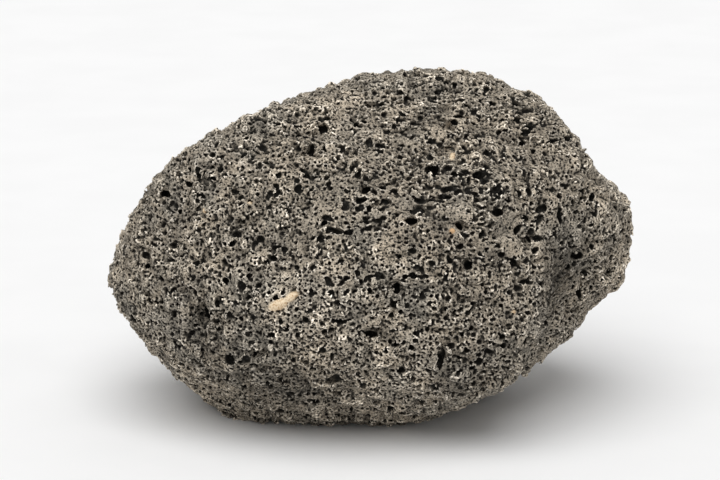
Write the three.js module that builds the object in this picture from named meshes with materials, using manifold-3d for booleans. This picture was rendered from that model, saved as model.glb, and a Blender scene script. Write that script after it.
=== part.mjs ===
// Lava rock: one rounded lump of vesicular basalt that rests on a flat broken face.
// Millimetres, +Z up. +X runs along the longest side and -Y is the front.
// The origin is the middle of the bounding box, on the plane that the rock rests on.

import * as THREE from "three";
import { mergeVertices } from "three/addons/utils/BufferGeometryUtils.js";
import Module from "manifold-3d";

// Overall size
const LENGTH = 131;
const DEPTH = 96;
const HEIGHT = 86;

// Mesh and blending
const BODY_DETAIL = 10;
const LARGE_PORE_DETAIL = 2;
const SMALL_PORE_DETAIL = 1;
const EDGE_SHARPNESS = 22;

// Flat face that the rock rests on, this far under its core
const REST_DROP = 41.5;
const CUTTER_HALF = 200;

// Unevenness of the broken surface
const LUMP_HEIGHT = 0.55;
const LUMP_WAVES = 5.5;

// Pores: how far their middle lies under the surface, as a share of their depth
const PORE_SINK = 0.35;

// Pores scattered over the crown, the back and the ends
const SCATTER_STEPS = 62;
const SCATTER_SEED = 41;
const SCATTER_JITTER = 0.14;
const SMALL_PORE_RADIUS = 1.1;
const LARGE_PORE_RADIUS = 2.2;
const LOWEST_SCATTER_TILT = -40;
const FRONT_LEFT_AZIMUTH = -155;
const FRONT_RIGHT_AZIMUTH = -12;
const FRONT_TOP_TILT = 62;

// Faces that the lump broke along. Azimuth is measured from +X towards +Y, so -90 is the
// front, and tilt is measured up from the horizontal. Reach is the distance from the core,
// before the lump is fitted to its overall size.
const BROKEN_FACES = [
  // crown and shoulders, seen edge on from the front
  { azimuth: 100, tilt: 74, reach: 48 },
  { azimuth: 144, tilt: 65, reach: 44.2 },
  { azimuth: 155, tilt: 56, reach: 45.6 },
  { azimuth: 26, tilt: 58, reach: 55 },
  { azimuth: 170, tilt: 31, reach: 54.2 },
  { azimuth: 9, tilt: 31, reach: 60.5 },
  // front
  { azimuth: -80, tilt: 60, reach: 44 },
  { azimuth: -98, tilt: 28, reach: 46.5 },
  { azimuth: -86, tilt: -4, reach: 48.5 },
  { azimuth: -130, tilt: 8, reach: 55 },
  { azimuth: -48, tilt: 14, reach: 54 },
  { azimuth: -22, tilt: -24, reach: 53.5 },
  { azimuth: -95, tilt: -28, reach: 50 },
  { azimuth: -92, tilt: -54, reach: 45 },
  { azimuth: -135, tilt: -40, reach: 54 },
  // ends
  { azimuth: 0, tilt: 2, reach: 67.5 },
  { azimuth: -5, tilt: -16, reach: 69 },
  { azimuth: -14, tilt: -43, reach: 52 },
  { azimuth: -32, tilt: -62, reach: 46 },
  { azimuth: 182, tilt: -6, reach: 67 },
  { azimuth: 193, tilt: -41, reach: 58 },
  // back
  { azimuth: 95, tilt: 34, reach: 47.5 },
  { azimuth: 84, tilt: -6, reach: 49.5 },
  { azimuth: 42, tilt: 12, reach: 58 },
  { azimuth: 136, tilt: 2, reach: 58 },
  { azimuth: 52, tilt: -44, reach: 51 },
  { azimuth: 128, tilt: -46, reach: 50 },
];

// Broad hollows (negative) and swellings (positive) of the surface
const RELIEF = [
  { azimuth: 6, tilt: 25, spread: 11, height: -4.6 },
  { azimuth: 13, tilt: 42, spread: 9, height: 1.6 },
  { azimuth: 2, tilt: 8, spread: 10, height: 2.2 },
  { azimuth: -4, tilt: -10, spread: 11, height: 3.6 },
  { azimuth: -27, tilt: -7, spread: 12, height: -4.5 },
  { azimuth: -36, tilt: -21, spread: 11, height: -3.8 },
  { azimuth: -50, tilt: -10, spread: 9, height: 1.4 },
  { azimuth: -60, tilt: -25, spread: 9, height: 1.6 },
  { azimuth: -128, tilt: -16, spread: 12, height: -2 },
  { azimuth: -100, tilt: 4, spread: 14, height: 1.5 },
];

// The largest open pores of the front. Wide and high are the radii across the surface,
// deep is the radius into it, and turn is in degrees anticlockwise.
const LARGE_PORES = [
  { azimuth: -41, tilt: 55, wide: 2.1, high: 1.5, deep: 2.2, turn: 5 },
  { azimuth: -33, tilt: 55, wide: 1.4, high: 1.3, deep: 1.5, turn: 0 },
  { azimuth: -56, tilt: 46, wide: 3.3, high: 1.2, deep: 2.1, turn: 18 },
  { azimuth: -54, tilt: 34, wide: 1.7, high: 1.6, deep: 1.8, turn: 0 },
  { azimuth: -65, tilt: 40, wide: 1.3, high: 2, deep: 1.6, turn: 0 },
  { azimuth: -27, tilt: 40, wide: 1.4, high: 1.2, deep: 1.4, turn: 20 },
  { azimuth: -117, tilt: 57, wide: 1.5, high: 1.7, deep: 1.6, turn: 0 },
  { azimuth: -116, tilt: 46, wide: 1.2, high: 1.2, deep: 1.4, turn: 0 },
  { azimuth: -92, tilt: 34, wide: 1.4, high: 1.4, deep: 1.5, turn: 0 },
  { azimuth: -152, tilt: 22, wide: 1.4, high: 1.4, deep: 1.5, turn: 0 },
  { azimuth: -141, tilt: 29, wide: 1.4, high: 1.3, deep: 1.5, turn: 0 },
  { azimuth: -64, tilt: 21, wide: 1.3, high: 1.5, deep: 1.5, turn: 0 },
  { azimuth: -78, tilt: 24, wide: 2, high: 1.2, deep: 1.4, turn: -15 },
  { azimuth: -54, tilt: 23, wide: 1.6, high: 1.3, deep: 1.4, turn: 0 },
  { azimuth: -43, tilt: 14, wide: 2, high: 1.1, deep: 1.4, turn: 10 },
  { azimuth: -64, tilt: 10, wide: 1.3, high: 1.5, deep: 1.4, turn: 0 },
  { azimuth: -82, tilt: 5, wide: 1.3, high: 1.9, deep: 1.5, turn: 10 },
  { azimuth: -136, tilt: -6, wide: 2.1, high: 2.8, deep: 2.4, turn: -10 },
  { azimuth: -122, tilt: -16, wide: 2.3, high: 2.9, deep: 2, turn: -20 },
  { azimuth: -70, tilt: -15, wide: 1.6, high: 2.3, deep: 2, turn: 15 },
  { azimuth: -89, tilt: -9, wide: 2, high: 1.3, deep: 1.5, turn: 0 },
  { azimuth: -25, tilt: 6, wide: 2.2, high: 1.1, deep: 1.4, turn: 0 },
  { azimuth: -17, tilt: -6, wide: 1.1, high: 1.8, deep: 1.6, turn: 0 },
  { azimuth: -32, tilt: -5, wide: 1.2, high: 1.8, deep: 1.5, turn: 10 },
  { azimuth: -134, tilt: -25, wide: 1.6, high: 1.8, deep: 1.6, turn: 0 },
];

const degrees = THREE.MathUtils.degToRad;

function direction(azimuth, tilt) {
  const flat = Math.cos(degrees(tilt));
  return new THREE.Vector3(
    flat * Math.cos(degrees(azimuth)),
    flat * Math.sin(degrees(azimuth)),
    Math.sin(degrees(tilt)),
  );
}

const faces = BROKEN_FACES.map(({ azimuth, tilt, reach }) => ({
  normal: direction(azimuth, tilt),
  reach,
}));

const relief = RELIEF.map(({ azimuth, tilt, spread, height }) => ({
  axis: direction(azimuth, tilt),
  spread: degrees(spread),
  height,
}));

// Distance from the core to the rounded meeting of all broken faces
function facetedReach(outward) {
  let sum = 0;
  for (const { normal, reach } of faces) {
    const share = Math.max(0, normal.dot(outward)) / reach;
    sum += share ** EDGE_SHARPNESS;
  }
  return sum ** (-1 / EDGE_SHARPNESS);
}

function reliefHeight(outward) {
  let height = 0;
  for (const bump of relief) {
    const away = bump.axis.angleTo(outward) / bump.spread;
    height += bump.height * Math.exp(-away * away);
  }
  return height;
}

function lumpHeight({ x, y, z }) {
  const w = LUMP_WAVES;
  const broad = Math.sin(w * x + 1.3) * Math.sin(w * y + 0.4) * Math.sin(w * z + 2.1);
  const fine = Math.sin(2.3 * w * (x + 0.4 * y)) * Math.sin(2.1 * w * (z - 0.5 * x) + 0.8);
  return LUMP_HEIGHT * (1.6 * broad + 0.8 * fine);
}

function surfaceReach(outward) {
  return facetedReach(outward) + reliefHeight(outward) + lumpHeight(outward);
}

function lumpGeometry() {
  const geometry = new THREE.IcosahedronGeometry(1, BODY_DETAIL);
  const position = geometry.attributes.position;
  const point = new THREE.Vector3();
  for (let i = 0; i < position.count; i++) {
    point.fromBufferAttribute(position, i).normalize();
    point.multiplyScalar(surfaceReach(point));
    position.setXYZ(i, point.x, point.y, point.z);
  }
  return geometry;
}

// Repeatable numbers from 0 to 1 (mulberry32)
function randomSource(seed) {
  let state = seed;
  return () => {
    state = (state + 0x6d2b79f5) | 0;
    let t = Math.imul(state ^ (state >>> 15), 1 | state);
    t = (t + Math.imul(t ^ (t >>> 7), 61 | t)) ^ t;
    return ((t ^ (t >>> 14)) >>> 0) / 4294967296;
  };
}

// An ellipsoid set into the surface so that its mouth stays open
function poreGeometry(outward, { wide, high, deep, turn }, detail) {
  const geometry = new THREE.IcosahedronGeometry(1, detail);
  geometry.scale(wide, high, deep);
  geometry.rotateZ(degrees(turn));
  const right = new THREE.Vector3(0, 0, 1).cross(outward).normalize();
  const up = outward.clone().cross(right);
  const placed = new THREE.Matrix4().makeBasis(right, up, outward);
  placed.setPosition(outward.clone().multiplyScalar(surfaceReach(outward) - PORE_SINK * deep));
  return geometry.applyMatrix4(placed);
}

function largePores() {
  return LARGE_PORES.map((pore) =>
    poreGeometry(direction(pore.azimuth, pore.tilt), pore, LARGE_PORE_DETAIL),
  );
}

function isOnFront({ x, y, z }) {
  const azimuth = THREE.MathUtils.radToDeg(Math.atan2(y, x));
  const tilt = THREE.MathUtils.radToDeg(Math.asin(z));
  return azimuth > FRONT_LEFT_AZIMUTH && azimuth < FRONT_RIGHT_AZIMUTH && tilt < FRONT_TOP_TILT;
}

// Pores spread evenly by the golden angle, none on the front or on the face it rests on
function scatteredPores() {
  const random = randomSource(SCATTER_SEED);
  const jitter = () => SCATTER_JITTER * (random() - 0.5);
  const goldenAngle = Math.PI * (3 - Math.sqrt(5));
  const lowest = Math.sin(degrees(LOWEST_SCATTER_TILT));
  const pores = [];
  for (let i = 0; i < SCATTER_STEPS; i++) {
    const z = 1 - ((1 - lowest) * (i + 0.5)) / SCATTER_STEPS;
    const flat = Math.sqrt(1 - z * z);
    const angle = i * goldenAngle;
    const outward = new THREE.Vector3(flat * Math.cos(angle), flat * Math.sin(angle), z);
    outward.add(new THREE.Vector3(jitter(), jitter(), jitter())).normalize();
    const size = THREE.MathUtils.lerp(SMALL_PORE_RADIUS, LARGE_PORE_RADIUS, random() ** 2);
    const shape = { wide: size * (1 + 0.5 * random()), high: size, deep: size, turn: 180 * random() };
    if (!isOnFront(outward)) {
      pores.push(poreGeometry(outward, shape, SMALL_PORE_DETAIL));
    }
  }
  return pores;
}

const wasm = await Module();
wasm.setup();

function solidOf(geometry) {
  geometry.deleteAttribute("normal");
  geometry.deleteAttribute("uv");
  const merged = mergeVertices(geometry);
  return new wasm.Manifold(
    new wasm.Mesh({
      numProp: 3,
      vertProperties: new Float32Array(merged.attributes.position.array),
      triVerts: new Uint32Array(merged.index.array),
    }),
  );
}

function geometryOf(solid) {
  const mesh = solid.getMesh();
  const geometry = new THREE.BufferGeometry();
  geometry.setAttribute("position", new THREE.BufferAttribute(mesh.vertProperties, 3));
  geometry.setIndex(new THREE.BufferAttribute(mesh.triVerts, 1));
  return geometry;
}

function restCutter() {
  const size = 2 * CUTTER_HALF;
  return new THREE.BoxGeometry(size, size, size).translate(0, 0, -REST_DROP - CUTTER_HALF);
}

// Stretches the finished lump to the stated size, with its base in the middle of the origin
function fitToSize(geometry) {
  geometry.computeBoundingBox();
  const { min, max } = geometry.boundingBox;
  geometry.translate(-(min.x + max.x) / 2, -(min.y + max.y) / 2, -min.z);
  geometry.scale(LENGTH / (max.x - min.x), DEPTH / (max.y - min.y), HEIGHT / (max.z - min.z));
  return geometry;
}

function rockGeometry() {
  let solid = solidOf(lumpGeometry()).subtract(solidOf(restCutter()));
  for (const pore of [...largePores(), ...scatteredPores()]) {
    solid = solid.subtract(solidOf(pore));
  }
  return fitToSize(geometryOf(solid));
}

const basalt = new THREE.MeshStandardMaterial({
  color: 0x6f6a64,
  roughness: 0.92,
  metalness: 0,
  flatShading: true,
});

const rock = new THREE.Mesh(rockGeometry(), basalt);
rock.name = "lava_rock";

const object = new THREE.Group();
object.add(rock);

export default object;
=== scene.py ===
"""Lava rock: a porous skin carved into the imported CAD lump, on a pale studio floor."""

import math

import bpy
import numpy as np
import openvdb as vdb
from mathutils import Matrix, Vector


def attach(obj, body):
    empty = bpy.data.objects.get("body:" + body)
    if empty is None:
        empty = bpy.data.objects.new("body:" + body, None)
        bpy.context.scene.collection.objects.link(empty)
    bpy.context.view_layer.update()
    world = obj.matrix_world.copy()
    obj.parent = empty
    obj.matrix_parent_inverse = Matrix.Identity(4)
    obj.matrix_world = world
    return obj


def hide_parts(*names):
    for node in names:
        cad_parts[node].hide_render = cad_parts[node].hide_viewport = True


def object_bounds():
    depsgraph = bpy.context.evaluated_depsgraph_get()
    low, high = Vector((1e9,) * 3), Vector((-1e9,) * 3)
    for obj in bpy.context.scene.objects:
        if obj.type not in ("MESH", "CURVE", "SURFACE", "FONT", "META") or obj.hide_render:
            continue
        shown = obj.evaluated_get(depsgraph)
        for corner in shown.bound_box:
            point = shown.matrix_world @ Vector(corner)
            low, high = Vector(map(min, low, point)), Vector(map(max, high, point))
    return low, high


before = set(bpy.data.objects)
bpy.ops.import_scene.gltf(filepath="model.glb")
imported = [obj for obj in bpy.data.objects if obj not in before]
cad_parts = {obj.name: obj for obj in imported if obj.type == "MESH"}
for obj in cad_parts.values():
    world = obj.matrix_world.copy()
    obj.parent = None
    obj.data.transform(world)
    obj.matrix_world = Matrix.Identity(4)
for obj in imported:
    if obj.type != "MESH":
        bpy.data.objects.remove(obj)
cad_low, cad_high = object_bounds()

NODE = "lava_rock"
SLOT = "basalt"
SEED = 7
MM = 0.001
CENTRE = (np.array(cad_low) + np.array(cad_high)) / 2 / MM

# Carving grid, in millimetres: cell size, how far distances are known, and the room round the rock
VOXEL = 0.26
BAND = 3.0
MARGIN = 3.6
BATCH_CELLS = 3_000_000

# Noise fields of the stone: size of their lumps in mm, and a number that tells them apart
BROAD_NOISE = (7, 0)
MIDDLE_NOISE = (3.1, 1)
GRIT_NOISE = (1.2, 2)
ROUGH_NOISE = (0.8, 3)
KNOB_NOISE = (3.5, 4)
PLATE_NOISE = (3.4, 40)
COARSE_NOISE = (12, 50)

# Lumps of the skin, heights in mm. Knobs are round and meet in creases.
BROAD_HEIGHT = 0.35
MIDDLE_HEIGHT = 0.35
KNOB_HEIGHT = 1.75
KNOB_MIDDLE = 0.46
GRIT_HEIGHT = 0.25
ROUGH_HEIGHT = 0.23
LUMP_REACH = 2.6
ROUGH_REACH = 0.6

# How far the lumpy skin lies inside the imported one, so that its knobs reach the same outline
INSET = 0.25

# Vesicles: spacing over the skin, chance that a place has one, radius, length across and depth
# as shares of the radius
FINE_PORES = dict(pitch=0.95, chance=1.0, radius=(0.31, 0.48), long=0.5, deep=(1.0, 1.9))
MEDIUM_PORES = dict(pitch=2.1, chance=0.65, radius=(0.48, 0.85), long=0.9, deep=(1.0, 2.2))
LARGE_PORES = dict(pitch=6.0, chance=0.45, radius=(0.75, 1.15), long=0.8, deep=(0.9, 1.5))

# How pores are strewn: place within a cell of the spacing, how much of one lies under the skin,
# how far from the skin a place may be, and how much commoner the small ones are
PORE_JITTER = (0.1, 0.9)
SINK = (0.05, 0.6)
SKIN_REACH = 2.0
SMALL_FAVOUR = 1.5

# How pores change from the fine to the coarse side: radius, length, lean and its loss in radians
FINE_SIZE = 0.92
COARSE_GAIN = 0.22
FINE_LENGTH = 0.15
FINE_LEAN = 1.6
LEAN_LOSS = 1.3
COARSE_RANGE = (0.2, 1.0)
COARSE_UNEVENNESS = 0.6

# Smooth plates between the drawn-out pores: where the noise and the coarseness make one, and
# what share of the pores it goes without
PLATE_RANGE = (0.0, 0.26)
PLATE_COARSENESS = (0.1, 0.6)
PLATE_THINNING = 0.75

# The holes that stand out: azimuth and tilt from the box centre in degrees, half length,
# half height and half depth in mm, and how far the long way leans from level, in degrees
NAMED_HOLES = [
    (-34, 53, 2.1, 1.3, 1.8, -8),
    (-27, 52, 1.3, 1.2, 1.6, 0),
    (-52, 44, 3.4, 0.6, 1.7, 20),
    (-63, 37, 1.9, 1.1, 1.5, 75),
    (-51, 31, 1.7, 1.4, 2.2, 10),
    (-120, 55, 1.5, 1.3, 1.6, 0),
    (-118, 43, 1.2, 1.1, 1.6, 0),
    (-65, 59, 1.4, 1.3, 1.6, 0),
    (-92, 31, 1.4, 1.2, 1.8, 60),
    (-116, 29, 1.4, 1.0, 1.6, 70),
    (-63, 17, 1.4, 1.1, 1.9, 80),
    (-51, 19, 1.6, 1.1, 1.7, 10),
    (-76, 20, 1.9, 0.8, 1.6, 12),
    (-97, 17, 1.6, 0.8, 1.6, 0),
    (-37, 17, 1.1, 0.9, 1.6, 0),
    (-40, 10, 1.7, 0.8, 1.8, -12),
    (-62, 6, 1.4, 1.1, 1.7, 80),
    (-23, 2, 2.1, 1.0, 1.7, 0),
    (-16, -10, 1.8, 0.9, 1.7, 90),
    (-42, -4, 1.8, 1.2, 1.6, 0),
    (-82, 0, 1.9, 0.9, 1.6, 85),
    (-90, -14, 1.8, 1.1, 1.7, 0),
    (-69, -21, 1.9, 1.1, 1.8, 80),
    (-102, -29, 2.4, 1.2, 1.7, 0),
    (-126, -21, 1.9, 1.3, 1.6, 70),
    (-131, -21, 1.8, 1.6, 2.0, 0),
    (-132, -5, 1.6, 1.0, 1.7, 85),
    (-139, -10, 1.7, 1.3, 1.5, 75),
    (-130, 13, 1.4, 0.9, 1.7, 25),
    (-154, 18, 1.5, 1.0, 1.9, -35),
    (-142, 25, 1.3, 1.0, 1.6, 0),
]

# How such a hole is cut: how deep its middle lies as a share of its half depth, its core, and the
# lobes round it as shares of its size, after the skin is found by halving the way from the centre
HOLE_SINK = 0.3
HOLE_CORE = 0.9
HOLE_LOBES = 5
LOBE_SHIFT = 0.75
LOBE_SIZE = (0.35, 0.65)
HALVINGS = 24

# Mineral grains bedded in the skin, cream and tan: same order of numbers as the holes, then how
# deep they are bedded as a share of their half depth, and how soft their edge is in mm
CREAM_GRAINS = [
    (-115, -4, 2.1, 1.15, 0.9, 24),
    (-112, -2, 1.9, 0.8, 0.8, 34),
    (-54, 40, 1.7, 0.55, 0.6, 15),
    (-140, 17, 0.5, 0.4, 0.4, 0),
    (-129, 22, 0.45, 0.35, 0.4, 30),
    (-51, -7, 0.45, 0.4, 0.4, 0),
]
TAN_SPECKS = [(-66, 16, 0.5, 0.45, 0.45, 0)]
GRAIN_SINK = 0.45
GRAIN_EDGE = 0.3

# Where the rock is coarse, its broad painted light and shade (darker underside and hollow), and its
# swells: azimuth, tilt and spread in degrees, then how coarse, how much lighter, and how far out in
# mm
COARSE_SIDE = [(-62, 34, 36, 1)]
PAINTED_LIGHT_AND_SHADE = [
    (-30, -5, 11, -0.6),
    (-138, -12, 11, -0.22),
    (-128, -31, 12, -0.48),
    (-110, -34, 10, -0.36),
    (-58, -28, 14, -0.34),
    (-152, 18, 20, -0.12),
    (-110, -6, 15, 0.2),
    (-83, 12, 15, 0.07),
    (-70, 15, 8, -0.12),
    (-84, -28, 8, 0.24),
    (-124, 60, 16, 0.24),
    (-60, 48, 12, 0.08),
]
SWELLS = [
    (3, 11, 6, 2.2),
    (7, 24, 6, -2.3),
    (-4, -16, 7, -2.3),
    (-2, -7, 5, 1.6),
    (-3, -11, 3.5, 2.2),
    (47, 70, 9, -1.5),
    (130, 71, 7, 0.9),
    (149, 63, 5, -1.3),
    (167, 41, 4.5, 1.6),
    (171, 31, 4, 1.5),
    (174, 22, 4, 1.4),
    (179, 4, 7, 0.9),
    (-175, -17, 8, -2.3),
    (-31, -4, 8, -1.4),
    (-49, -9, 4, 0.9),
    (-44, -4, 4, 0.9),
    (-40, 1, 4, 0.9),
    (-137, -12, 4, -1.2),
]

# Painted light and shade on knobs and in hollows: how much lighter the stone is for each mm
# that it stands out of the imported skin
LIFT_LIGHT_AND_SHADE = 0.28
LIFT_LIMIT = 1.2

# Bake map: gap between its tiles in mm, and the scale of the tiles that hold hidden faces
MAP_GAP = 4.0
HIDDEN_SHARE = 1 / 3

# Colours of the stone and its floor
WALL_BROWN = (0.268, 0.23, 0.18, 1)
WALL_GREY = (0.226, 0.203, 0.167, 1)
WALL_LIGHT = (0.32, 0.272, 0.21, 1)
# Crests: partly paler stone, partly a painted highlight on the convex rims of the pores
CREST_HIGHLIGHT_DULL = (0.56, 0.5, 0.41, 1)
CREST_HIGHLIGHT_BRIGHT = (0.76, 0.69, 0.59, 1)
# Painted shade: near-black in the pores and below the skin, partly the dark glassy lining of the
# pores
PIT_SHADE = (0.0095, 0.0085, 0.0065, 1)
# Painted shade: dark dots for the pores too small to carve
SPECK_SHADE = (0.03, 0.028, 0.024, 1)
CREAM_STAIN = (0.55, 0.36, 0.2, 1)
CREAM = (0.86, 0.72, 0.52, 1)
TAN = (0.62, 0.4, 0.22, 1)
PAPER_SHADE = (0.9, 0.9, 0.9, 1)
PAPER = (0.92, 0.92, 0.92, 1)

# Sizes of the mottling in mm, and the noise levels between which it turns from one look to another
REGION_SIZE = 26.0
PATCH_SIZE = 9.0
CLOUD_SIZE = 4.0
CREST_SIZE = 1.6
SPECK_SIZE = 0.75
GRAIN_SIZE = 0.44
FIBRE_SIZE = 40.0
REGION_TURN = (0.38, 0.62)
PATCH_TURN = (0.4, 0.65)
CLOUD_TURN = (0.3, 0.7)
CREST_TURN = (0.45, 0.6)
SPECK_TURN = (0.24, 0.42)
GRAIN_TURN = (0.34, 0.66)
FINISH_TURN = (0.2, 0.8)
CREAM_TURN = (0.35, 0.6)
FIBRE_TURN = (0.3, 0.7)

# Solid share round a point (1 inside, 0 outside) and depth in mm at which the crests' painted
# highlight and the pits' painted shade begin and are full
CREST_SHARE = (0.48, 0.24)
CREST_DEPTH = (0.8, 0.0)
PIT_SHADE_SHARE = (0.505, 0.61)
PIT_SHADE_DEPTH = (0.28, 1.0)

# How dark and how light the mottling makes the stone, and its finish
GRAIN_LIGHT = (0.3, 1.8)
CLOUD_LIGHT = (0.7, 1.32)
ROUGHNESS = (0.78, 0.98)
SPECULAR = 0.2
BUMP_STRENGTH = 0.35
BUMP_HEIGHT = 0.12
PAPER_ROUGHNESS = 0.9

# Camera and stage, in metres
CAMERA_DISTANCE = 0.65
CAMERA_ELEVATION = math.radians(15)
CAMERA_LENS = 130
CAMERA_SENSOR = 36
CAMERA_NEAR = 0.01
AIM_SHIFT = (-0.0025, 0.0, -0.00025)
FLOOR_SIZE = 6.0
WORLD_STRENGTH = 0.44
SOFTBOX_STRENGTH = 2.15
SOFTBOX_WIDTH = math.radians(60)
SOFTBOX_PLACE = (-0.12, -0.42, 1.0)


# ---------------------------------------------------------------- grid and noise

class Field:
    """A signed distance on a regular grid, in millimetres, negative inside the rock."""

    def __init__(self, node):
        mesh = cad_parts[node].data
        mesh.calc_loop_triangles()
        points = np.empty(len(mesh.vertices) * 3, np.float32)
        mesh.vertices.foreach_get("co", points)
        points = points.reshape(-1, 3) / MM
        triangles = np.empty(len(mesh.loop_triangles) * 3, np.int32)
        mesh.loop_triangles.foreach_get("vertices", triangles)
        self.low = points.min(0) - MARGIN
        self.shape = tuple(np.ceil((np.ptp(points, axis=0) + 2 * MARGIN) / VOXEL).astype(int))
        self.transform = vdb.createLinearTransform(voxelSize=VOXEL)
        level_set = vdb.FloatGrid.createLevelSetFromPolygons(
            (points - self.low).astype(np.float64),
            triangles=triangles.reshape(-1, 3).astype(np.uint32),
            transform=self.transform,
            halfWidth=BAND / VOXEL,
        )
        self.distance = np.full(self.shape, BAND, np.float32)
        level_set.copyToArray(self.distance)


field = Field(NODE)


def locate(points, cell, shape):
    """The grid cell that each point is in, and how far across it the point lies."""
    at = np.clip((points - field.low) / cell, 0, np.array(shape) - 1.001)
    base = at.astype(np.int32)
    return base, (at - base).astype(np.float32)


def trilinear(values, base, part):
    """Values between grid cells, from the eight cells round each place."""
    total = np.zeros(len(base), np.float32)
    for corner in range(8):
        dx, dy, dz = corner & 1, corner >> 1 & 1, corner >> 2 & 1
        weight = np.where(dx, part[:, 0], 1 - part[:, 0])
        weight = weight * np.where(dy, part[:, 1], 1 - part[:, 1])
        weight = weight * np.where(dz, part[:, 2], 1 - part[:, 2])
        total += weight * values[base[:, 0] + dx, base[:, 1] + dy, base[:, 2] + dz]
    return total


def sample(values, points):
    """The reading of a grid at points."""
    return trilinear(values, *locate(points, VOXEL, field.shape))


def noise(points, kind):
    """Smooth noise from -1 to 1 at points, of one of the noise fields."""
    cell, number = kind
    rng = np.random.default_rng(SEED + number)
    size = np.ceil(np.array(field.shape) * VOXEL / cell).astype(int) + 2
    lattice = rng.uniform(-1, 1, size).astype(np.float32)
    base, part = locate(points, cell, size)
    return trilinear(lattice, base, smooth(part))


def smooth(t):
    return t * t * (3 - 2 * t)


def smoothstep(low, high, x):
    return smooth(np.clip((x - low) / (high - low), 0, 1))


def blurred(values):
    """The mean of each cell and its neighbours on all sides."""
    for axis in range(3):
        pad = [(0, 0)] * 3
        pad[axis] = (2, 1)
        total = np.cumsum(np.pad(values, pad, mode="edge"), axis=axis, dtype=np.float32)
        ahead = np.take(total, range(3, total.shape[axis]), axis=axis)
        behind = np.take(total, range(total.shape[axis] - 3), axis=axis)
        values = (ahead - behind) / 3
    return values


# ---------------------------------------------------------------- places on the rock

def bumps(points, rows):
    """The sum of round bumps, seen from the box centre: azimuth, tilt, spread and height."""
    away = points - CENTRE
    away = away / np.linalg.norm(away, axis=1)[:, None]
    total = np.zeros(len(points))
    for azimuth, tilt, spread, height in rows:
        a, t = math.radians(azimuth), math.radians(tilt)
        way = (math.cos(a) * math.cos(t), math.sin(a) * math.cos(t), math.sin(t))
        total += height * np.exp(2 * (away @ way - 1) / math.radians(spread) ** 2)
    return total


def coarseness(points):
    """0 where the rock is fine-pored, 1 where its pores are large and drawn out."""
    near = bumps(points, COARSE_SIDE) + COARSE_UNEVENNESS * noise(points, COARSE_NOISE)
    return smoothstep(*COARSE_RANGE, near)


def plates(points):
    """1 on the smooth plates between the drawn-out pores, 0 elsewhere."""
    patch = smoothstep(*PLATE_RANGE, noise(points, PLATE_NOISE))
    return patch * smoothstep(*PLATE_COARSENESS, coarseness(points))


def slopes(values, points):
    """Outward unit directions of the skin at points."""
    step = np.eye(3) * VOXEL
    ahead = [sample(values, points + step[axis]) for axis in range(3)]
    behind = [sample(values, points - step[axis]) for axis in range(3)]
    slope = np.stack(ahead, -1) - np.stack(behind, -1)
    return slope / (np.linalg.norm(slope, axis=1)[:, None] + 1e-9)


def pore_frames(outward, turn):
    """Turning matrices whose rows are the long way, the short way and the way out of a pore."""
    level = np.stack([-outward[:, 1], outward[:, 0], 0 * turn + 1e-6], -1)
    level /= np.linalg.norm(level, axis=1)[:, None]
    upward = np.cross(outward, level)
    long_way = np.cos(turn)[:, None] * level + np.sin(turn)[:, None] * upward
    return np.stack([long_way, np.cross(outward, long_way), outward], 1)


def named_places(skin, rows):
    """Centres on the skin, half sizes and turning matrices of rows of the hole list."""
    rows = np.array(rows, float)
    azimuth, tilt, turn = np.radians(rows[:, 0]), np.radians(rows[:, 1]), np.radians(rows[:, 5])
    level = np.stack([np.cos(azimuth), np.sin(azimuth)], -1) * np.cos(tilt)[:, None]
    way = np.concatenate([level, np.sin(tilt)[:, None]], 1)
    inner, outer = np.zeros(len(rows)), np.full(len(rows), np.linalg.norm(CENTRE) * 2)
    for _ in range(HALVINGS):
        half = (inner + outer) / 2
        beyond = sample(skin, CENTRE + way * half[:, None]) > 0
        inner, outer = np.where(beyond, inner, half), np.where(beyond, half, outer)
    centres = CENTRE + way * inner[:, None]
    return centres, rows[:, 2:5], pore_frames(slopes(skin, centres), turn)


def grain_places(skin, rows):
    """Centres, half sizes and turning matrices of grains, bedded in the skin."""
    centres, radii, turns = named_places(skin, rows)
    return centres - turns[:, 2] * (GRAIN_SINK * radii[:, 2])[:, None], radii, turns


def grain_mask(skin, points, rows):
    """1 on the grains, 0 away from them."""
    mask = np.zeros(len(points))
    for centre, radii, turn in zip(*grain_places(skin, rows)):
        local = (points - centre) @ turn.T / radii
        gap = (np.linalg.norm(local, axis=1) - 1) * radii.min()
        mask = np.maximum(mask, 1 - smoothstep(0.0, GRAIN_EDGE, gap))
    return mask


def pores(skin, pitch, chance, radius, long, deep, seed):
    """Centres, radii and turning matrices of the pores of one size, spread over the skin."""
    rng = np.random.default_rng(SEED + seed)
    count = np.ceil(np.array(field.shape) * VOXEL / pitch).astype(int)
    cells = np.stack(np.meshgrid(*(np.arange(n) for n in count), indexing="ij"), -1).reshape(-1, 3)
    centres = (cells + rng.uniform(*PORE_JITTER, cells.shape)) * pitch + field.low
    height = sample(skin, centres)
    likely = chance * (1 - PLATE_THINNING * plates(centres))
    near = np.abs(height) < min(pitch / 2, SKIN_REACH)
    kept = near & (rng.random(len(centres)) < likely)
    centres, height = centres[kept], height[kept]
    outward = slopes(skin, centres)
    coarse = coarseness(centres)
    many = len(centres)
    size = radius[0] + (radius[1] - radius[0]) * rng.random(many) ** SMALL_FAVOUR
    size *= FINE_SIZE + COARSE_GAIN * coarse
    length = 1 + long * (FINE_LENGTH + coarse) * rng.random(many)
    depth = rng.uniform(*deep, many)
    radii = np.stack([size * length, size / np.sqrt(length), size * depth], -1)
    drop = height + radii[:, 2] * rng.uniform(*SINK, many)
    centres = centres - outward * drop[:, None]
    turn = rng.normal(0, 1, many) * (FINE_LEAN - LEAN_LOSS * coarse)
    return centres, radii, pore_frames(outward, turn)


# ---------------------------------------------------------------- carving

def band_voxels(values, reach):
    """Indices and places of the cells within reach of the surface."""
    index = np.argwhere(np.abs(values) < reach).astype(np.int32)
    return index, index * VOXEL + field.low


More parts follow.
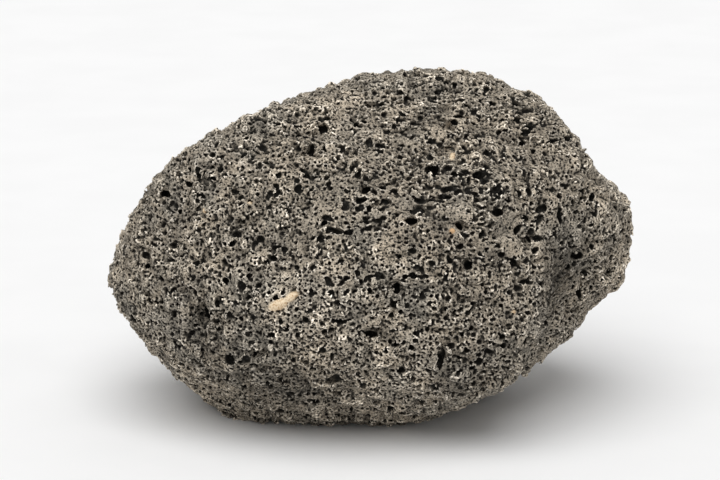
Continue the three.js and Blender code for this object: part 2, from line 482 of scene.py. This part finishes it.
def carve(values, centres, radii, turns):
    """Cuts ellipsoids out of the rock: centres and radii per axis, in mm, turned by matrices."""
    flat = values.ravel()
    shape = np.array(field.shape)
    reach = np.ceil(radii.max(1) / VOXEL).astype(int) + 1
    for cells in np.unique(reach):
        chosen = np.flatnonzero(reach == cells)
        line = np.arange(-cells, cells + 1)
        block = np.stack(np.meshgrid(line, line, line, indexing="ij"), -1).reshape(-1, 3)
        group = max(1, BATCH_CELLS // len(block))
        for start in range(0, len(chosen), group):
            rows = chosen[start:start + group]
            middle = np.rint((centres[rows] - field.low) / VOXEL).astype(int)
            index = middle[:, None, :] + block[None]
            inside = ((index >= 0) & (index < shape)).all(-1)
            offset = (index * VOXEL + field.low - centres[rows][:, None, :]).astype(np.float32)
            local = np.einsum("bvj,bkj->bvk", offset, turns[rows].astype(np.float32))
            local /= radii[rows][:, None, :]
            gap = (1 - np.linalg.norm(local, axis=-1)) * radii[rows].min(1)[:, None]
            address = (index[..., 0] * shape[1] + index[..., 1]) * shape[2] + index[..., 2]
            np.maximum.at(flat, address[inside], gap[inside].astype(np.float32))


def carve_holes(rock, skin):
    """Cuts the named holes: a core each, and smaller lobes that break up its edge."""
    centres, radii, turns = named_places(skin, NAMED_HOLES)
    centres = centres - turns[:, 2] * (HOLE_SINK * radii[:, 2])[:, None]
    carve(rock, centres, radii * HOLE_CORE, turns)
    rng = np.random.default_rng(SEED)
    for _ in range(HOLE_LOBES):
        offset = rng.uniform(-LOBE_SHIFT, LOBE_SHIFT, radii.shape) * radii
        shift = np.einsum("bj,bjk->bk", offset, turns)
        carve(rock, centres + shift, radii * rng.uniform(*LOBE_SIZE, (len(radii), 1)), turns)


def lumpy_skin(packed):
    """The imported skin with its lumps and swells, before any pore is cut."""
    skin = packed.copy()
    index, places = band_voxels(skin, LUMP_REACH)
    lumps = BROAD_HEIGHT * noise(places, BROAD_NOISE) + MIDDLE_HEIGHT * noise(places, MIDDLE_NOISE)
    lumps += KNOB_MIDDLE - KNOB_HEIGHT * np.abs(noise(places, KNOB_NOISE))
    lumps += GRIT_HEIGHT * noise(places, GRIT_NOISE) * (1 - plates(places)) + INSET
    lumps -= bumps(places, SWELLS)
    skin[tuple(index.T)] += lumps
    return skin


def carved_rock(skin):
    """The rock with its pores, holes and grains, cut off flat where it rests."""
    rock = skin.copy()
    for number, kind in enumerate((FINE_PORES, MEDIUM_PORES, LARGE_PORES)):
        carve(rock, *pores(skin, **kind, seed=number))
    carve_holes(rock, skin)
    index, places = band_voxels(rock, ROUGH_REACH)
    rock[tuple(index.T)] += ROUGH_HEIGHT * noise(places, ROUGH_NOISE) * (1 - plates(places))
    np.negative(rock, out=rock)
    carve(rock, *grain_places(skin, CREAM_GRAINS + TAN_SPECKS))
    np.negative(rock, out=rock)
    height = np.arange(field.shape[2]) * VOXEL + field.low[2]
    np.maximum(rock, -height.astype(np.float32), out=rock)
    return rock


# ---------------------------------------------------------------- mesh

def largest_part(points, quads):
    """The faces of the largest connected surface, with its points renumbered."""
    label = np.arange(len(points))
    pairs = np.concatenate([quads[:, [0, 1]], quads[:, [1, 2]], quads[:, [2, 3]], quads[:, [3, 0]]])
    while True:
        low = np.minimum(label[pairs[:, 0]], label[pairs[:, 1]])
        before = label.copy()
        np.minimum.at(label, label[pairs[:, 0]], low)
        np.minimum.at(label, label[pairs[:, 1]], low)
        while True:
            jumped = label[label]
            if np.array_equal(jumped, label):
                break
            label = jumped
        if np.array_equal(before, label):
            break
    biggest = np.bincount(label[quads[:, 0]]).argmax()
    quads = quads[label[quads[:, 0]] == biggest]
    used = np.unique(quads)
    number = np.zeros(len(points), np.int64)
    number[used] = np.arange(len(used))
    return points[used], number[quads]


def surface_of(rock):
    """Points and outward quads of the surface where the carved distance is nought."""
    grid = vdb.FloatGrid(BAND)
    grid.copyFromArray(np.clip(rock, -BAND, BAND))
    grid.transform = field.transform
    points, quads = grid.convertToQuads(isovalue=0)
    return largest_part(points + field.low, quads)


def build_mesh(name, points, quads, attributes):
    """A smooth-shaded object from points in mm, with a number per point for each attribute."""
    mesh = bpy.data.meshes.new(name)
    mesh.vertices.add(len(points))
    mesh.vertices.foreach_set("co", (points * MM).astype(np.float32).ravel())
    mesh.loops.add(4 * len(quads))
    mesh.loops.foreach_set("vertex_index", quads.astype(np.int32).ravel())
    mesh.polygons.add(len(quads))
    mesh.polygons.foreach_set("loop_start", np.arange(0, 4 * len(quads), 4, dtype=np.int32))
    mesh.polygons.foreach_set("use_smooth", np.ones(len(quads), bool))
    for key, values in attributes.items():
        layer = mesh.attributes.new(key, "FLOAT", "POINT")
        layer.data.foreach_set("value", values.astype(np.float32))
    mesh.update(calc_edges=True)
    piece = bpy.data.objects.new(name, mesh)
    bpy.context.scene.collection.objects.link(piece)
    return piece


def lay_out_map(piece, points, quads):
    """Six flat views of the rock side by side, and a small row of six for the faces they hide."""
    low, high = points.min(0), points.max(0)
    a, b, c, d = (points[quads[:, k]] for k in range(4))
    pull = ((a + b + c + d) / 4 - (low + high) / 2) / (high - low)
    axis = np.abs(pull).argmax(1)
    face = np.arange(len(quads))
    side = pull[face, axis] > 0
    hidden = (np.cross(c - a, d - b)[face, axis] * pull[face, axis] < 0)[:, None]
    width = high[0] - low[0] + MAP_GAP
    height = max(high[1] - low[1], high[2] - low[2]) + MAP_GAP
    across = np.where(axis == 0, 1, 0)
    upward = np.where(axis == 2, 1, 2)
    corners = points[quads] - low + MAP_GAP / 2
    u = np.take_along_axis(corners, across[:, None, None], 2)[..., 0]
    v = np.take_along_axis(corners, upward[:, None, None], 2)[..., 0]
    small_u = HIDDEN_SHARE * (u + (2 * axis + side)[:, None] * width)
    u = np.where(hidden, small_u, u + side[:, None] * width)
    v = np.where(hidden, HIDDEN_SHARE * v + 3 * height, v + axis[:, None] * height)
    scale = 1 / max(2 * width, (3 + HIDDEN_SHARE) * height)
    layer = piece.data.uv_layers.new(name="OFBake")
    layer.data.foreach_set("uv", (np.stack([u, v], -1) * scale).astype(np.float32).ravel())


# ---------------------------------------------------------------- materials

class Nodes:
    """A short way to write the node tree of a new material."""

    def __init__(self, name):
        self.material = bpy.data.materials.new(name)
        self.material.use_nodes = True
        self.tree = self.material.node_tree
        self.tree.nodes.clear()
        self.place = self.add("TexCoord", {}).outputs["Object"]

    def add(self, kind, inputs, **settings):
        node = self.tree.nodes.new("ShaderNode" + kind)
        for key, value in settings.items():
            setattr(node, key, value)
        for key, value in inputs.items():
            if isinstance(value, bpy.types.NodeSocket):
                self.tree.links.new(value, node.inputs[key])
            else:
                node.inputs[key].default_value = value
        return node

    def attribute(self, name):
        return self.add("Attribute", {}, attribute_name=name).outputs["Fac"]

    def range(self, value, span, result=(0.0, 1.0)):
        inputs = {"Value": value, "From Min": span[0], "From Max": span[1]}
        inputs.update({"To Min": result[0], "To Max": result[1]})
        return self.add("MapRange", inputs, interpolation_type="SMOOTHSTEP").outputs["Result"]

    def math(self, operation, first, second):
        return self.add("Math", {0: first, 1: second}, operation=operation).outputs[0]

    def mix(self, factor, first, second, kind="MIX"):
        inputs = {0: factor, 6: first, 7: second}
        return self.add("Mix", inputs, data_type="RGBA", blend_type=kind).outputs[2]

    def noise(self, size, detail=3.0, roughness=0.55):
        inputs = {"Vector": self.place, "Scale": 1 / (size * MM)}
        inputs.update({"Detail": detail, "Roughness": roughness})
        return self.add("TexNoise", inputs).outputs["Fac"]

    def finish(self, **inputs):
        inputs = {key.replace("_", " "): value for key, value in inputs.items()}
        shader = self.add("BsdfPrincipled", inputs)
        self.add("OutputMaterial", {"Surface": shader.outputs[0]})
        return self.material


def basalt():
    n = Nodes(SLOT)
    share, depth = n.attribute("fine"), n.attribute("depth")
    regions = n.noise(REGION_SIZE, detail=2.0)
    patches = n.noise(PATCH_SIZE)
    clouds = n.noise(CLOUD_SIZE, detail=2.0)
    grain = n.noise(GRAIN_SIZE, roughness=0.75)
    voronoi = {"Vector": n.place, "Scale": 1 / (SPECK_SIZE * MM), "Randomness": 1.0}
    cells = n.add("TexVoronoi", voronoi, feature="F1").outputs["Distance"]

    wall = n.mix(n.range(regions, REGION_TURN), WALL_BROWN, WALL_GREY)
    wall = n.mix(n.range(patches, PATCH_TURN), wall, WALL_LIGHT)
    # Crests: partly paler stone, partly a painted highlight where the skin is convex and not deep
    crest_highlight = n.mix(n.range(n.noise(CREST_SIZE), CREST_TURN), CREST_HIGHLIGHT_DULL, CREST_HIGHLIGHT_BRIGHT)
    crest_highlight_mask = n.math("MULTIPLY", n.range(share, CREST_SHARE), n.range(depth, CREST_DEPTH))
    colour = n.mix(crest_highlight_mask, wall, crest_highlight)
    colour = n.mix(1.0, colour, n.range(grain, GRAIN_TURN, GRAIN_LIGHT), "MULTIPLY")
    # Painted light and shade: darker underside and hollow, lighter knobs, darker hollows between
    # them
    colour = n.mix(1.0, colour, n.attribute("painted_light_shade"), "MULTIPLY")
    colour = n.mix(1.0, colour, n.range(clouds, CLOUD_TURN, CLOUD_LIGHT), "MULTIPLY")
    # Painted shade in the pores and in recesses below the skin, partly their dark glassy lining
    pit_shade = n.math("MAXIMUM", n.range(share, PIT_SHADE_SHARE), n.range(depth, PIT_SHADE_DEPTH))
    colour = n.mix(pit_shade, colour, PIT_SHADE)
    # Painted shade: dark dots for the finest pores
    colour = n.mix(n.range(cells, SPECK_TURN), SPECK_SHADE, colour)
    cream = n.mix(n.range(grain, CREAM_TURN), CREAM_STAIN, CREAM)
    colour = n.mix(n.attribute("cream"), colour, cream)
    colour = n.mix(n.attribute("tan"), colour, TAN)

    bump = {"Strength": BUMP_STRENGTH, "Distance": BUMP_HEIGHT * MM, "Height": grain}
    return n.finish(
        Base_Color=colour,
        Roughness=n.range(grain, FINISH_TURN, ROUGHNESS),
        Normal=n.add("Bump", bump).outputs[0],
        Specular_IOR_Level=SPECULAR,
    )


def paper():
    n = Nodes("pale_floor")
    colour = n.mix(n.range(n.noise(FIBRE_SIZE, detail=2.0), FIBRE_TURN), PAPER_SHADE, PAPER)
    return n.finish(Base_Color=colour, Roughness=PAPER_ROUGHNESS)


# ---------------------------------------------------------------- stage

def add_floor():
    mesh = bpy.data.meshes.new("floor")
    half = FLOOR_SIZE / 2
    corners = [(-half, -half, 0), (half, -half, 0), (half, half, 0), (-half, half, 0)]
    mesh.from_pydata(corners, [], [(0, 1, 2, 3)])
    floor = bpy.data.objects.new("floor", mesh)
    bpy.context.scene.collection.objects.link(floor)
    mesh.materials.append(paper())


def look_at(thing, place, aim):
    thing.location = place
    thing.rotation_euler = (Vector(aim) - Vector(place)).to_track_quat("-Z", "Y").to_euler()


def add_camera(middle):
    data = bpy.data.cameras.new("camera")
    data.lens = CAMERA_LENS
    data.sensor_width = CAMERA_SENSOR
    data.clip_start = CAMERA_NEAR
    camera = bpy.data.objects.new("camera", data)
    bpy.context.scene.collection.objects.link(camera)
    aim = middle + Vector(AIM_SHIFT)
    back = Vector((0, -math.cos(CAMERA_ELEVATION), math.sin(CAMERA_ELEVATION)))
    look_at(camera, aim + back * CAMERA_DISTANCE, aim)
    bpy.context.scene.camera = camera


def light_room():
    world = bpy.data.worlds.new("room")
    world.use_nodes = True
    sky = world.node_tree.nodes["Background"]
    sky.inputs["Color"].default_value = (1.0, 1.0, 1.0, 1)
    sky.inputs["Strength"].default_value = WORLD_STRENGTH
    bpy.context.scene.world = world
    data = bpy.data.lights.new("softbox", "SUN")
    data.energy = SOFTBOX_STRENGTH
    data.angle = SOFTBOX_WIDTH
    softbox = bpy.data.objects.new("softbox", data)
    bpy.context.scene.collection.objects.link(softbox)
    look_at(softbox, SOFTBOX_PLACE, (0, 0, 0))
    bpy.context.scene.view_settings.view_transform = "Standard"


# ---------------------------------------------------------------- the rock

packed = field.distance
skin = lumpy_skin(packed)
rock = carved_rock(skin)
points, quads = surface_of(rock)
lift = np.clip(sample(packed, points), -LIFT_LIMIT, LIFT_LIMIT)
shades = {
    "fine": sample(blurred(np.clip(0.5 - rock / VOXEL, 0, 1)), points),
    "depth": -sample(skin, points),
    # Painted light and shade over broad regions, and on knobs and in the hollows between them
    "painted_light_shade": (1 + bumps(points, PAINTED_LIGHT_AND_SHADE)) * (1 + LIFT_LIGHT_AND_SHADE * lift),
    "cream": grain_mask(skin, points, CREAM_GRAINS),
    "tan": grain_mask(skin, points, TAN_SPECKS),
}
piece = build_mesh("lava_rock_surface", points, quads, shades)
lay_out_map(piece, points, quads)
piece.data.materials.append(basalt())
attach(piece, "root")
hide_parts(NODE)

add_floor()
add_camera(Vector(CENTRE * MM))
light_room()
